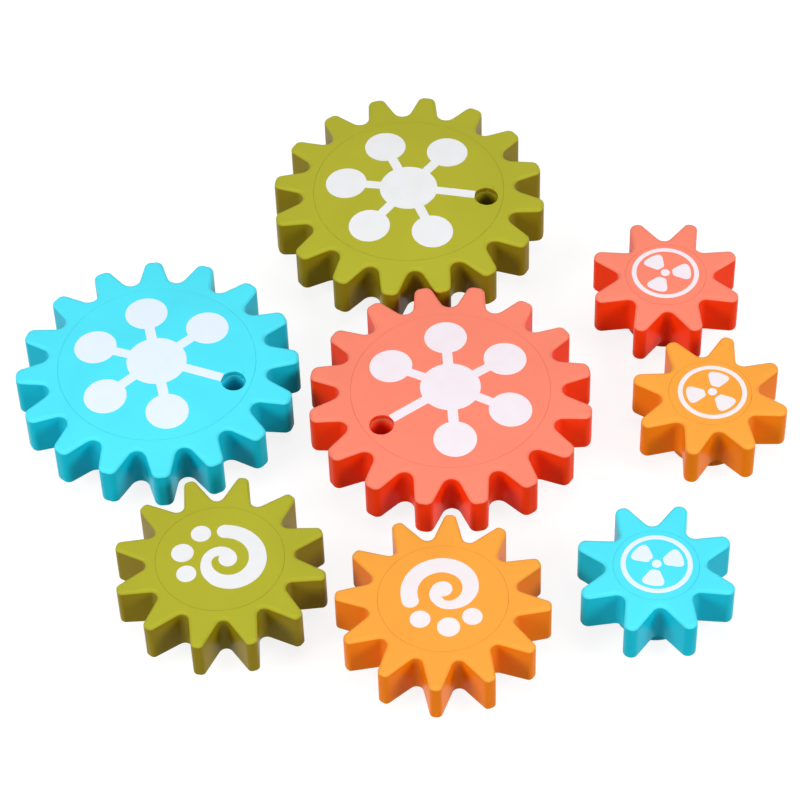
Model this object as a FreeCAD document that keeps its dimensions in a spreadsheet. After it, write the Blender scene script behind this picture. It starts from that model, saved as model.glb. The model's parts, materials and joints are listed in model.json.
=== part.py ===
import FreeCAD, Part
import math
import os
import Sketcher

# Set of eight loose toy gears in moulded plastic: three large, two medium and three small ones.
# Each gear is a toothed wheel with a snapped-in face, and it turns on the spindle of its own round foot.
# Millimetres, +Z up. The origin is under the foot of the large red gear, on the table.

doc = FreeCAD.newDocument("gear_set")
sheet = doc.addObject("Spreadsheet::Sheet", "Sizes")

# ----------------------------------------------------------------------------- driving sizes
SIZES = [
    # Teeth of each size of gear: tips, half the width of a tooth at its tip, the rounding of its crest, lean
    # of its flanks, the round valley between two teeth, and the wall between the valleys and the face.
    # large gears
    ("large_teeth", 16),
    ("large_tip_radius", 53.8),
    ("large_crest_half", 3.05),
    ("large_crest_round", 2.8),
    ("large_flank_angle", 13.5),
    ("large_valley_radius", 3.55),
    ("large_rim_wall", 4.4),
    ("large_ribs", 6),
    # medium gears
    ("medium_teeth", 12),
    ("medium_tip_radius", 38.9),
    ("medium_crest_half", 1.9),
    ("medium_crest_round", 1.9),
    ("medium_flank_angle", 16.5),
    ("medium_valley_radius", 2.6),
    ("medium_rim_wall", 3.6),
    ("medium_ribs", 4),
    # small gears
    ("small_teeth", 8),
    ("small_tip_radius", 29.5),
    ("small_crest_half", 2.0),
    ("small_crest_round", 1.9),
    ("small_flank_angle", 20.5),
    ("small_valley_radius", 2.0),
    ("small_rim_wall", 3.3),
    ("small_ribs", 4),
    # every wheel: it runs on a collar of its foot, and its top is part of one large sphere
    ("foot_height", 7.0),
    ("collar_height", 0.4),
    ("thrust_gap", 0.1),
    ("rim_height", 17.75),
    ("dome_radius", 490.0),
    ("edge_break", 1.0),
    # walls of the moulding, which is open below under each tooth
    ("floor_thickness", 2.2),
    ("tooth_wall", 1.8),
    ("tooth_tip_wall", 2.3),
    ("roof_thickness", 2.4),
    ("rib_thickness", 1.5),
    ("rib_height", 6.0),
    # face and its seat
    ("face_rim", 2.0),
    ("face_clearance", 0.15),
    ("seat_width", 1.5),
    ("tab_width", 8.0),
    ("tab_thickness", 1.3),
    ("tab_depth", 3.0),
    ("tab_count", 3),
    # crank hole of the large gears
    ("crank_hole_radius", 4.6),
    ("crank_hole_margin", 2.1),
    ("socket_radius", 4.0),
    ("socket_wall", 1.8),
    # spindle, hub and what holds them together
    ("spindle_radius", 4.0),
    ("running_clearance", 0.06),
    ("hub_wall", 3.0),
    ("hub_height", 9.7),
    ("washer_gap", 0.2),
    ("washer_radius", 6.5),
    ("washer_thickness", 1.0),
    ("screw_radius", 1.5),
    ("screw_length", 9.0),
    ("screw_head_radius", 3.2),
    ("screw_head_height", 1.9),
    ("screw_clearance", 0.05),
    # foot
    ("foot_radius", 15.0),
    ("collar_radius", 8.5),
    ("magnet_radius", 10.0),
    ("magnet_thickness", 3.0),
    ("magnet_clearance", 0.1),
    ("cover_radius", 12.5),
    ("cover_thickness", 0.6),
    # layout on the table: bearing in degrees and clear gap from the neighbour named in LAYOUT
    # The two meshed gears overlap, and the second follows the first: its teeth stand in the first one's
    # valleys, less a lag within the backlash, with its crank hole so many teeth on.
    ("large_green_bearing", 96.95),
    ("large_green_gap", -3.3),
    ("large_green_lag", 2.95),
    ("large_green_teeth_on", 8),
    ("large_cyan_bearing", 170.7),
    ("large_cyan_gap", 4.5),
    ("large_cyan_turn", 340.2),
    ("large_red_turn", 212.0),
    ("medium_orange_bearing", 266.25),
    ("medium_orange_gap", 4.2),
    ("medium_orange_turn", 83.8),
    ("medium_green_bearing", 164.95),
    ("medium_green_gap", 4.8),
    ("medium_green_turn", 77.6),
    ("small_red_bearing", 32.55),
    ("small_red_gap", 18.0),
    ("small_red_turn", 109.95),
    ("small_orange_bearing", 281.1),
    ("small_orange_gap", 2.3),
    ("small_orange_turn", 71.35),
    ("small_cyan_bearing", 8.4),
    ("small_cyan_gap", 9.5),
    ("small_cyan_turn", 112.05),
]
for row, (alias, value) in enumerate(SIZES, start=1):
    sheet.set(f"A{row}", alias)
    sheet.set(f"B{row}", str(value))
    sheet.setAlias(f"B{row}", alias)
doc.recompute()


# ----------------------------------------------------------------------------- sizes that carry their formula
class Size:
    """A length, angle or count, with the sheet formula that gives it."""

    def __init__(self, number, formula):
        self.number = number
        self.formula = formula

    def joined(self, sign, other, number):
        return Size(number, f"({self.formula} {sign} {other.formula})")

    def __add__(self, other):
        other = as_size(other)
        return self.joined("+", other, self.number + other.number)

    def __sub__(self, other):
        other = as_size(other)
        return self.joined("-", other, self.number - other.number)

    def __mul__(self, other):
        other = as_size(other)
        return self.joined("*", other, self.number * other.number)

    def __truediv__(self, other):
        other = as_size(other)
        return self.joined("/", other, self.number / other.number)

    def __neg__(self):
        return Size(-self.number, f"(-{self.formula})")


def as_size(value):
    return value if isinstance(value, Size) else Size(float(value), repr(float(value)))


def cell(alias):
    return Size(float(getattr(sheet, alias)), f"Sizes.{alias}")


def square_root(value):
    return Size(math.sqrt(value.number), f"sqrt({value.formula})")


def sine(angle):
    return Size(math.sin(math.radians(angle.number)), f"sin({angle.formula})")


def cosine(angle):
    return Size(math.cos(math.radians(angle.number)), f"cos({angle.formula})")


def tangent(angle):
    return sine(angle) / cosine(angle)


def arctangent(ratio):
    return Size(math.degrees(math.atan(ratio.number)), f"atan({ratio.formula})")


ZERO = as_size(0.0)
HALF_TURN = as_size(180.0)


# ----------------------------------------------------------------------------- drawing helpers
def new_body(label):
    body = doc.addObject("PartDesign::Body", label)
    body.Label = label
    return body


def new_sketch(body, name, role, height=ZERO, turn=ZERO):
    """Sketch on one of the body's own planes, lifted to a height and turned about the plane's normal."""
    plane = next(o for o in body.Origin.OriginFeatures if o.Role == role)
    sketch = body.newObject("Sketcher::SketchObject", name)
    sketch.AttachmentSupport = (plane, [""])
    sketch.MapMode = "FlatFace"
    up = FreeCAD.Vector(0, 0, 1)
    sketch.AttachmentOffset = FreeCAD.Placement(up * height.number, FreeCAD.Rotation(up, turn.number))
    if height is not ZERO:
        sketch.setExpression("AttachmentOffset.Base.z", height.formula)
    if turn is not ZERO:
        sketch.setExpression("AttachmentOffset.Rotation.Angle", turn.formula)
    return sketch


def bind(sketch, constraint, size):
    index = sketch.addConstraint(constraint)
    sketch.setExpression(f"Constraints[{index}]", size.formula)


def point(corner):
    return FreeCAD.Vector(corner[0].number, corner[1].number, 0)


def arc_between(start, end, radius, side):
    """Short arc from start to end, with its centre on the left (+1) or the right (-1) of the way there."""
    chord = end - start
    across = FreeCAD.Vector(-chord.y, chord.x, 0).normalize() * side
    height = math.sqrt(max(radius**2 - chord.Length**2 / 4, 0.0))
    centre = (start + end) * 0.5 + across * height
    return Part.Arc(start, centre - across * radius, end)


def draw_outline(sketch, corners, arcs=None):
    """Closed outline through corners, each a pair of sizes. arcs maps a corner's place to the radius and side
    of the arc that leaves it."""
    arcs = arcs or {}
    first = sketch.GeometryCount
    places = range(len(corners))
    points = [point(corner) for corner in corners]
    starts = []
    for place in places:
        start = points[place]
        end = points[(place + 1) % len(points)]
        if place in arcs:
            radius, side = arcs[place]
            edge = sketch.addGeometry(arc_between(start, end, radius.number, side))
            bind(sketch, Sketcher.Constraint("Radius", edge, radius.number), radius)
        else:
            edge = sketch.addGeometry(Part.LineSegment(start, end))
        starts.append(1 if sketch.getPoint(edge, 1).isEqual(start, 1e-6) else 2)
    for place in places:
        edge = first + place
        last = first + (place - 1) % len(points)
        last_end = 3 - starts[place - 1]
        sketch.addConstraint(Sketcher.Constraint("Coincident", last, last_end, edge, starts[place]))
        across, along = corners[place]
        for kind, axis, size in (("DistanceX", -2, across), ("DistanceY", -1, along)):
            if size is ZERO:
                sketch.addConstraint(Sketcher.Constraint("PointOnObject", edge, starts[place], axis))
            else:
                distance = Sketcher.Constraint(kind, -1, 1, edge, starts[place], size.number)
                bind(sketch, distance, size)


def draw_circle(sketch, across, radius):
    """Circle with its centre on the sketch's first axis."""
    centre = FreeCAD.Vector(across.number, 0, 0)
    edge = sketch.addGeometry(Part.Circle(centre, FreeCAD.Vector(0, 0, 1), radius.number))
    sketch.addConstraint(Sketcher.Constraint("PointOnObject", edge, 3, -1))
    bind(sketch, Sketcher.Constraint("DistanceX", -1, 1, edge, 3, across.number), across)
    bind(sketch, Sketcher.Constraint("Radius", edge, radius.number), radius)


def turned(body, name, corners, arcs=None):
    """Solid of revolution about the body's own vertical axis; corners are pairs of radius and height."""
    sketch = new_sketch(body, name + "_section", "XZ_Plane")
    draw_outline(sketch, corners, arcs)
    solid = body.newObject("PartDesign::Revolution", name)
    solid.Profile = sketch
    solid.ReferenceAxis = (sketch, ["V_Axis"])
    solid.Angle = 360
    return solid


def raised(body, name, sketch, length):
    pad = body.newObject("PartDesign::Pad", name)
    pad.Profile = sketch
    pad.setExpression("Length", length.formula)
    return pad


def hollowed(body, name, sketch, depth):
    """Pocket that goes up from its sketch."""
    pocket = body.newObject("PartDesign::Pocket", name)
    pocket.Profile = sketch
    pocket.setExpression("Length", depth.formula)
    pocket.Reversed = True
    return pocket


def repeated(body, feature, count):
    """The feature repeated all the way round the body's vertical axis."""
    pattern = body.newObject("PartDesign::PolarPattern", feature.Name + "s")
    pattern.Originals = [feature]
    pattern.Axis = (feature.Profile[0], ["N_Axis"])
    pattern.Angle = 360
    pattern.setExpression("Occurrences", count.formula)
    body.Tip = pattern
    return pattern


def place(body, spot, turn=ZERO):
    up = FreeCAD.Vector(0, 0, 1)
    where = FreeCAD.Vector(spot[0].number, spot[1].number, 0)
    body.Placement = FreeCAD.Placement(where, FreeCAD.Rotation(up, turn.number))
    body.setExpression("Placement.Base.x", spot[0].formula)
    body.setExpression("Placement.Base.y", spot[1].formula)
    if turn is not ZERO:
        body.setExpression("Placement.Rotation.Angle", turn.formula)


# ----------------------------------------------------------------------------- heights that all gears share
foot_top = cell("foot_height")
collar_top = foot_top + cell("collar_height")
wheel_base = collar_top + cell("thrust_gap")
floor_top = wheel_base + cell("floor_thickness")
rim_top = wheel_base + cell("rim_height")
hub_top = wheel_base + cell("hub_height")
spindle_top = hub_top + cell("washer_gap")
washer_top = spindle_top + cell("washer_thickness")
screw_hole_radius = cell("screw_radius") + cell("screw_clearance")
hub_bore = cell("spindle_radius") + cell("running_clearance")
hub_radius = hub_bore + cell("hub_wall")


class Family:
    """The sizes of one size of gear, worked out from its teeth inwards."""

    def __init__(self, name):
        self.teeth = cell(name + "_teeth")
        self.tip_radius = cell(name + "_tip_radius")
        self.crest_half = cell(name + "_crest_half")
        self.crest_round = cell(name + "_crest_round")
        self.flank_angle = cell(name + "_flank_angle")
        self.valley_radius = cell(name + "_valley_radius")
        self.ribs = cell(name + "_ribs")
        self.half_pitch = HALF_TURN / self.teeth
        # Each tooth flank leans out to the flank angle, and a round valley touches the flanks of two teeth.
        self.spread = self.flank_angle + self.half_pitch
        flank_offset = self.tip_radius * sine(self.flank_angle) + self.crest_half * cosine(self.flank_angle)
        self.valley_centre = (flank_offset + self.valley_radius) / sine(self.spread)
        self.root_radius = self.valley_centre - self.valley_radius
        self.face_radius = self.root_radius - cell(name + "_rim_wall")
        self.recess_radius = self.face_radius + cell("face_clearance")
        self.chamber_radius = self.face_radius - cell("seat_width")
        self.crown = self.dome(ZERO)
        self.seat_height = self.dome(self.face_radius) - cell("face_rim")
        margin = cell("crank_hole_radius") + cell("crank_hole_margin")
        self.crank_offset = self.face_radius - margin

    def dome(self, radius):
        """Height of the domed top at a radius."""
        sphere = cell("dome_radius")
        drop = square_root(sphere * sphere - self.tip_radius * self.tip_radius)
        return rim_top + square_root(sphere * sphere - radius * radius) - drop

    def half_width(self, radius):
        """Half the width of a tooth between its flanks."""
        return self.crest_half + tangent(self.flank_angle) * (self.tip_radius - radius)


def dome_top(body, family, radius):
    """Cut the flat top of a turned blank down to the shallow dome, which is part of a large sphere.
    The cutting section swings about a level axis through the sphere's centre, and clears the blank all round."""
    sphere = cell("dome_radius")
    centre = family.crown - sphere
    reach = radius + cell("rim_height")
    ends = centre + square_root(sphere * sphere - reach * reach)
    above = family.crown + cell("rim_height")
    sketch = new_sketch(body, "dome_section", "XZ_Plane")
    corners = [(reach, ends), (reach, above), (-reach, above), (-reach, ends)]
    draw_outline(sketch, corners, {3: (sphere, -1)})
    axis = sketch.addGeometry(Part.LineSegment(point((-reach, centre)), point((reach, centre))), True)
    sketch.addConstraint(Sketcher.Constraint("Horizontal", axis))
    bind(sketch, Sketcher.Constraint("DistanceX", -1, 1, axis, 2, reach.number), reach)
    bind(sketch, Sketcher.Constraint("DistanceX", axis, 1, -1, 1, reach.number), reach)
    bind(sketch, Sketcher.Constraint("DistanceY", axis, 2, -1, 1, -centre.number), -centre)
    groove = body.newObject("PartDesign::Groove", "dome")
    groove.Profile = sketch
    groove.ReferenceAxis = (sketch, ["Axis0"])
    groove.Midplane = True
    swing = arctangent(reach / (ends - centre)) * 2
    groove.setExpression("Angle", swing.formula)
    return groove


# ----------------------------------------------------------------------------- toothed wheel
def blank_radius(family):
    """The turned blank stands past the tips, so that the tooth spaces also cut the flat crests."""
    return family.tip_radius + family.crest_round


def tooth_space(body, family):
    """One space between two teeth: straight flanks, a round valley and rounded crests."""
    g = family.half_pitch
    s = family.flank_angle
    tip = family.tip_radius
    # how far the rounding of a crest reaches along the crest and along the flank
    reach = family.crest_round / tangent((HALF_TURN / 2 + s) / 2)

    def beside(along, across):
        """Point of the upper tooth, from its place along and across that tooth."""
        return (
            along * cosine(g) + across * sine(g),
            along * sine(g) - across * cosine(g),
        )

    beyond = blank_radius(family) + family.crest_round
    upper = [
        (beyond, beyond * tangent(g)),
        beside(tip, ZERO),
        beside(tip, family.crest_half - reach),
        beside(tip - reach * cosine(s), family.crest_half + reach * sine(s)),
        (
            family.valley_centre - family.valley_radius * sine(family.spread),
            family.valley_radius * cosine(family.spread),
        ),
    ]
    lower = [(across, -along) for across, along in reversed(upper)]
    crest = (family.crest_round, -1)
    rounds = {1: crest, 7: crest, 9: (family.valley_radius, 1)}
    sketch = new_sketch(body, "tooth_space_outline", "XY_Plane", turn=g)
    draw_outline(sketch, lower + upper, rounds)
    return sketch


def wheel(label, family, has_socket):
    body = new_body(label)
    corners = [
        (hub_bore, wheel_base),
        (blank_radius(family), wheel_base),
        (blank_radius(family), family.crown),
        (family.recess_radius, family.crown),
        (family.recess_radius, family.seat_height),
        (family.chamber_radius, family.seat_height),
        (family.chamber_radius, floor_top),
        (hub_radius, floor_top),
        (hub_radius, hub_top),
        (hub_bore, hub_top),
    ]
    turned(body, "blank", corners)
    dome_top(body, family, blank_radius(family))

    spaces = hollowed(body, "tooth_space", tooth_space(body, family), family.crown)
    repeated(body, spaces, family.teeth)

    # the teeth are cored from below, with an even wall
    core_in = family.root_radius
    core_out = family.tip_radius - cell("tooth_tip_wall")
    skin = cell("tooth_wall") / cosine(family.flank_angle)
    wide = family.half_width(core_in) - skin
    narrow = family.half_width(core_out) - skin
    core = new_sketch(body, "tooth_core_outline", "XY_Plane", wheel_base)
    corners = [(core_in, -wide), (core_out, -narrow), (core_out, narrow), (core_in, wide)]
    draw_outline(core, corners)
    cored = hollowed(body, "tooth_core", core, cell("rim_height") - cell("roof_thickness"))
    repeated(body, cored, family.teeth)

    # ribs from the hub to the rim, under the face, which run a little way into both
    half_rib = cell("rib_thickness") / 2
    rib = new_sketch(body, "rib_outline", "XY_Plane", floor_top, HALF_TURN / family.ribs)
    inner = hub_radius - half_rib
    outer = family.chamber_radius + half_rib
    corners = [(inner, -half_rib), (outer, -half_rib), (outer, half_rib), (inner, half_rib)]
    draw_outline(rib, corners)
    repeated(body, raised(body, "rib", rib, cell("rib_height")), family.ribs)

    if has_socket:
        ring = new_sketch(body, "crank_socket_outline", "XY_Plane", floor_top)
        draw_circle(ring, family.crank_offset, cell("socket_radius") + cell("socket_wall"))
        draw_circle(ring, family.crank_offset, cell("socket_radius"))
        tube = family.seat_height - cell("face_clearance") - floor_top
        body.Tip = raised(body, "crank_socket", ring, tube)
    doc.recompute()
    break_top_edges(body, family)
    return body


def break_top_edges(body, family):
    """Small bevel along the top edge of every tooth."""
    before = body.Tip
    shape = before.Shape
    dome = max((f for f in shape.Faces if isinstance(f.Surface, Part.Sphere)), key=lambda f: f.Area)
    names = [
        f"Edge{number}"
        for number, edge in enumerate(shape.Edges, start=1)
        if any(edge.isSame(other) for other in dome.OuterWire.Edges)
    ]
    bevel = body.newObject("PartDesign::Chamfer", "edge_break")
    bevel.Base = (before, names)
    bevel.setExpression("Size", "Sizes.edge_break")
    body.Tip = bevel


# ----------------------------------------------------------------------------- face
def face(label, family, has_hole):
    """Domed round face that snaps into the wheel and closes it."""
    body = new_body(label)
    corners = [
        (ZERO, family.seat_height),
        (family.face_radius, family.seat_height),
        (family.face_radius, family.crown),
        (ZERO, family.crown),
    ]
    turned(body, "face_disc", corners)

    # snap tabs that hold it inside the wheel's chamber, rooted in the middle of the rim
    reach = family.chamber_radius - cell("face_clearance")
    half_tab = cell("tab_width") / 2
    outer = square_root(reach * reach - half_tab * half_tab)
    inner = outer - cell("tab_thickness")
    tab_bottom = family.seat_height - cell("tab_depth")
    tab = new_sketch(body, "snap_tab_outline", "XY_Plane", tab_bottom, HALF_TURN / cell("tab_count"))
    corners = [(inner, -half_tab), (outer, -half_tab), (outer, half_tab), (inner, half_tab)]
    draw_outline(tab, corners)
    tab_length = cell("tab_depth") + cell("face_rim") / 2
    repeated(body, raised(body, "snap_tab", tab, tab_length), cell("tab_count"))
    if has_hole:
        hole = new_sketch(body, "crank_hole_outline", "XY_Plane")
        draw_circle(hole, family.crank_offset, cell("crank_hole_radius"))
        body.Tip = hollowed(body, "crank_hole", hole, family.crown)
    body.Tip = dome_top(body, family, family.face_radius)
    return body


# ----------------------------------------------------------------------------- foot, magnet, cover, washer and screw
def foot(label):
    body = new_body(label)
    radius = cell("foot_radius")
    cover_recess = cell("cover_radius") + cell("magnet_clearance")
    magnet_recess = cell("magnet_radius") + cell("magnet_clearance")
    recess_top = cell("cover_thickness") + cell("magnet_thickness") + cell("magnet_clearance")
    hole_bottom = washer_top - cell("screw_length") - cell("screw_clearance")
    corners = [
        (cover_recess, ZERO),
        (radius, ZERO),
        (radius, foot_top),
        (cell("collar_radius"), foot_top),
        (cell("collar_radius"), collar_top),
        (cell("spindle_radius"), collar_top),
        (cell("spindle_radius"), spindle_top),
        (screw_hole_radius, spindle_top),
        (screw_hole_radius, hole_bottom),
        (ZERO, hole_bottom),
        (ZERO, recess_top),
        (magnet_recess, recess_top),
        (magnet_recess, cell("cover_thickness")),
        (cover_recess, cell("cover_thickness")),
    ]
    turned(body, "foot_disc", corners)
    return body


def disc(label, radius, bottom, top, hole=ZERO):
    """Plain round disc or ring."""
    body = new_body(label)
    turned(body, "disc", [(hole, bottom), (radius, bottom), (radius, top), (hole, top)])
    return body


def magnet(label):
    bottom = cell("cover_thickness")
    return disc(label, cell("magnet_radius"), bottom, bottom + cell("magnet_thickness"))


def cover(label):
    """Thin disc that closes the magnet in."""
    return disc(label, cell("cover_radius"), ZERO, cell("cover_thickness"))


def washer(label):
    return disc(label, cell("washer_radius"), spindle_top, washer_top, screw_hole_radius)


def screw(label):
    """Pan-head screw that holds the washer down on the spindle."""
    body = new_body(label)
    shank = cell("screw_radius")
    head = cell("screw_head_radius")
    tip = washer_top - cell("screw_length")
    head_top = washer_top + cell("screw_head_height")
    half_head = cell("screw_head_height") / 2
    corners = [
        (ZERO, tip),
        (shank, tip + shank),
        (shank, washer_top),
        (head, washer_top),
        (head, head_top - half_head),
        (head - half_head, head_top),
        (ZERO, head_top),
    ]
    turned(body, "screw_shape", corners)
    return body


# ----------------------------------------------------------------------------- layout
# gear, the neighbour that it is set out from
LAYOUT = [
    ("large_red", None),
    ("large_green", "large_red"),
    ("large_cyan", "large_red"),
    ("medium_orange", "large_red"),
    ("medium_green", "medium_orange"),
    ("small_red", "large_red"),
    ("small_orange", "small_red"),
    ("small_cyan", "medium_orange"),
]
MESHED = ["large_green"]
families = {name: Family(name) for name in ("large", "medium", "small")}


def meshed_turn(gear, other_turn, family):
    """Turn of a gear whose teeth stand in the valleys of its neighbour, as a mirror image half a tooth on."""
    bearing = cell(gear + "_bearing")
    mirrored = bearing * 2 + HALF_TURN - other_turn + family.half_pitch
    return mirrored + family.half_pitch * 2 * cell(gear + "_teeth_on") - cell(gear + "_lag")


spots = {}
pieces = []
hardware = {"magnets": [], "washers": [], "screws": []}
for gear, neighbour in LAYOUT:
    family_name = gear.split("_")[0]
    family = families[family_name]
    if neighbour is None:
        spots[gear] = (ZERO, ZERO)
    else:
        other = families[neighbour.split("_")[0]]
        distance = other.tip_radius + family.tip_radius + cell(gear + "_gap")
        bearing = cell(gear + "_bearing")
        start = spots[neighbour]
        spots[gear] = (start[0] + distance * cosine(bearing), start[1] + distance * sine(bearing))
    spot = spots[gear]
    if gear in MESHED:
        turn = meshed_turn(gear, cell(neighbour + "_turn"), family)
    else:
        turn = cell(gear + "_turn")
    is_large = family_name == "large"
    turning = [wheel(gear + "_wheel", family, is_large), face(gear + "_face", family, is_large)]
    for body in turning:
        place(body, spot, turn)
    standing = [foot(gear + "_foot"), cover(gear + "_cover")]
    hardware["magnets"].append(magnet(gear + "_magnet"))
    hardware["washers"].append(washer(gear + "_washer"))
    hardware["screws"].append(screw(gear + "_screw"))
    for body in standing + [bodies[-1] for bodies in hardware.values()]:
        place(body, spot)
    pieces += turning + standing
for label, bodies in hardware.items():
    group = doc.addObject("Part::Compound", label)
    group.Links = bodies
    pieces.append(group)
doc.recompute()

# ----------------------------------------------------------------------------- checks and files
for item in doc.Objects:
    if "Invalid" in item.State or "Error" in item.State:
        raise RuntimeError(f"{item.Label} could not be rebuilt: {item.State}")
for piece in pieces:
    solids = len(LAYOUT) if piece.Label in hardware else 1
    if piece.Shape.isNull() or not piece.Shape.isValid() or len(piece.Shape.Solids) != solids:
        raise RuntimeError(f"{piece.Label} is not made of {solids} valid solids")
os.makedirs("parts", exist_ok=True)
for piece in pieces:
    piece.Shape.exportStep(f"parts/{piece.Label}.step")
print(f"{len(pieces)} pieces written")
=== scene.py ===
import json
import math

import bpy
from mathutils import Matrix, Vector


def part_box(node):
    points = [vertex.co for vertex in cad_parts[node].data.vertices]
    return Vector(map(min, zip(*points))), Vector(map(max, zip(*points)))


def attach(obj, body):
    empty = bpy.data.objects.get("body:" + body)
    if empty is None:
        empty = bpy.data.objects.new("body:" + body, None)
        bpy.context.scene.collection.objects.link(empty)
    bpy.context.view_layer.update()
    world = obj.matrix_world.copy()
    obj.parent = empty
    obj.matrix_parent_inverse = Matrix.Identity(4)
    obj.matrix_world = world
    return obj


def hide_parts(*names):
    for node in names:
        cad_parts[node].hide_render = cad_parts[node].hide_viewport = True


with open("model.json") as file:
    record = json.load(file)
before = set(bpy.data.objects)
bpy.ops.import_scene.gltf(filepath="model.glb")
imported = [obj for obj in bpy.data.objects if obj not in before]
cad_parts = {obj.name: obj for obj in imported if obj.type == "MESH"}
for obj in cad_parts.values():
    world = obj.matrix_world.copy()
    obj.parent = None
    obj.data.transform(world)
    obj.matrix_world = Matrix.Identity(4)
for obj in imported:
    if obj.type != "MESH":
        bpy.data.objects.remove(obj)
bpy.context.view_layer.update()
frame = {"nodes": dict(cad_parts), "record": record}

# ----------------------------------------------------------------------------- table and background
# The set lies on a plain white table top in a white room. To the camera, open table comes out white, so
# that only the soft shadows of the gears show on it.
MM = 0.001
TABLE_SIZE = 6.0
TABLE_DROP = 0.2 * MM
TABLE_WHITE = (0.40, 0.40, 0.40, 1.0)
TABLE_SEEN = (0.24, 0.24, 0.24, 1.0)
TABLE_GLOW = 0.84
TABLE_ROUGHNESS = 0.9


def math_node(nodes, links, operation, *values):
    """Math node; each value is a number or the socket that it comes from."""
    node = nodes.new("ShaderNodeMath")
    node.operation = operation
    for socket, value in zip(node.inputs, values):
        if isinstance(value, float):
            socket.default_value = value
        else:
            links.new(value, socket)
    return node


def mixed_color(nodes, links, factor, first, second):
    """Mix of two colour sockets or colours, by a factor socket."""
    node = nodes.new("ShaderNodeMix")
    node.data_type = "RGBA"
    links.new(factor, node.inputs["Factor"])
    for label, color in (("A", first), ("B", second)):
        if isinstance(color, tuple):
            node.inputs[label].default_value = color
        else:
            links.new(color, node.inputs[label])
    return node.outputs["Result"]


def seen_directly(nodes, links):
    """Socket that is 1 for rays from the camera, also by way of a gloss or glass, and 0 for other light."""
    path = nodes.new("ShaderNodeLightPath")
    total = path.outputs["Is Camera Ray"]
    for name in ("Is Glossy Ray", "Is Transmission Ray"):
        add = math_node(nodes, links, "ADD", total, path.outputs[name])
        add.use_clamp = True
        total = add.outputs[0]
    return total


def paint_table():
    """White matt table top. To the camera, open table comes out pure white and keeps a light shadow."""
    material = bpy.data.materials.new("white_table")
    material.use_nodes = True
    nodes, links = material.node_tree.nodes, material.node_tree.links
    shader = nodes["Principled BSDF"]
    shader.inputs["Roughness"].default_value = TABLE_ROUGHNESS
    shader.inputs["Emission Color"].default_value = (1.0, 1.0, 1.0, 1.0)
    seen = seen_directly(nodes, links)
    links.new(mixed_color(nodes, links, seen, TABLE_WHITE, TABLE_SEEN), shader.inputs["Base Color"])
    glow = math_node(nodes, links, "MULTIPLY", seen, TABLE_GLOW)
    links.new(glow.outputs[0], shader.inputs["Emission Strength"])
    return material


bpy.ops.object.select_all(action="DESELECT")
bpy.ops.mesh.primitive_plane_add(size=TABLE_SIZE, location=(0, 0, -TABLE_DROP))
table = bpy.context.object
table.name = "table_top"
table.data.materials.append(paint_table())

# ----------------------------------------------------------------------------- light
# A photographer's light tent: even white light from all round, a soft box on each side of the camera, one
# overhead, and a weak one behind.
ROOM_LIGHT = 0.20
SOFT_BOXES = [
    # name, size across, size up, place, watts
    ("soft_box_left", 1.1, 0.9, (-1.70, -0.95, 1.25), 33.8),
    ("soft_box_right", 1.1, 0.9, (1.70, -0.95, 1.25), 32.8),
    ("soft_box_above", 1.6, 1.4, (0.0, -0.1, 2.30), 9.0),
    ("soft_box_behind", 1.6, 1.2, (0.0, 1.60, 1.80), 5.0),
]


def map_range(nodes, links, value, source, target=(0.0, 1.0)):
    """Stretches a value from one range to another and holds it to the ends."""
    node = nodes.new("ShaderNodeMapRange")
    node.inputs["From Min"].default_value = source[0]
    node.inputs["From Max"].default_value = source[1]
    node.inputs["To Min"].default_value = target[0]
    node.inputs["To Max"].default_value = target[1]
    links.new(value, node.inputs["Value"])
    return node


world = bpy.data.worlds.new("light_tent")
bpy.context.scene.world = world
world.use_nodes = True
world_nodes, world_links = world.node_tree.nodes, world.node_tree.links
background = world_nodes["Background"]
background.inputs["Color"].default_value = (1.0, 1.0, 1.0, 1.0)
seen = seen_directly(world_nodes, world_links)
strength = map_range(world_nodes, world_links, seen, (0.0, 1.0), (ROOM_LIGHT, 1.0))
world_links.new(strength.outputs["Result"], background.inputs["Strength"])

for name, across, up, place, watts in SOFT_BOXES:
    lamp = bpy.data.lights.new(name, "AREA")
    lamp.shape = "RECTANGLE"
    lamp.size = across
    lamp.size_y = up
    lamp.energy = watts
    box = bpy.data.objects.new(name, lamp)
    bpy.context.scene.collection.objects.link(box)
    box.location = place
    box.rotation_euler = Vector(place).to_track_quat("Z", "Y").to_euler()

# ----------------------------------------------------------------------------- camera
# A long lens looks down on the set at about fifty degrees, from a metre and a quarter away. It is tilted a
# little to one side.
VIEW_TARGET = Vector((-18.6, -2.2, 24.0)) * MM
VIEW_DISTANCE = 1234 * MM
VIEW_ELEVATION = math.radians(50.13)
VIEW_ROLL = math.radians(-2.10)
IMAGE_WIDTH = 800
FOCAL_PIXELS = 3285
CENTRE_OFFSET_PIXELS = 1.2
SENSOR_WIDTH = 36.0
SIGHT_LIMIT = 20.0

back = Vector((0, -math.cos(VIEW_ELEVATION), math.sin(VIEW_ELEVATION)))
right = Vector((1, 0, 0))
up = back.cross(right)
rolled_right = right * math.cos(VIEW_ROLL) + up * math.sin(VIEW_ROLL)
rolled_up = up * math.cos(VIEW_ROLL) - right * math.sin(VIEW_ROLL)
camera_data = bpy.data.cameras.new("camera")
camera_data.sensor_width = SENSOR_WIDTH
camera_data.lens = SENSOR_WIDTH * FOCAL_PIXELS / IMAGE_WIDTH
camera_data.shift_x = -CENTRE_OFFSET_PIXELS / IMAGE_WIDTH
camera_data.clip_end = SIGHT_LIMIT
camera = bpy.data.objects.new("camera", camera_data)
bpy.context.scene.collection.objects.link(camera)
axes = Matrix((rolled_right, rolled_up, back)).transposed().to_4x4()
camera.matrix_world = Matrix.Translation(VIEW_TARGET + back * VIEW_DISTANCE) @ axes
bpy.context.scene.camera = camera
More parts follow.
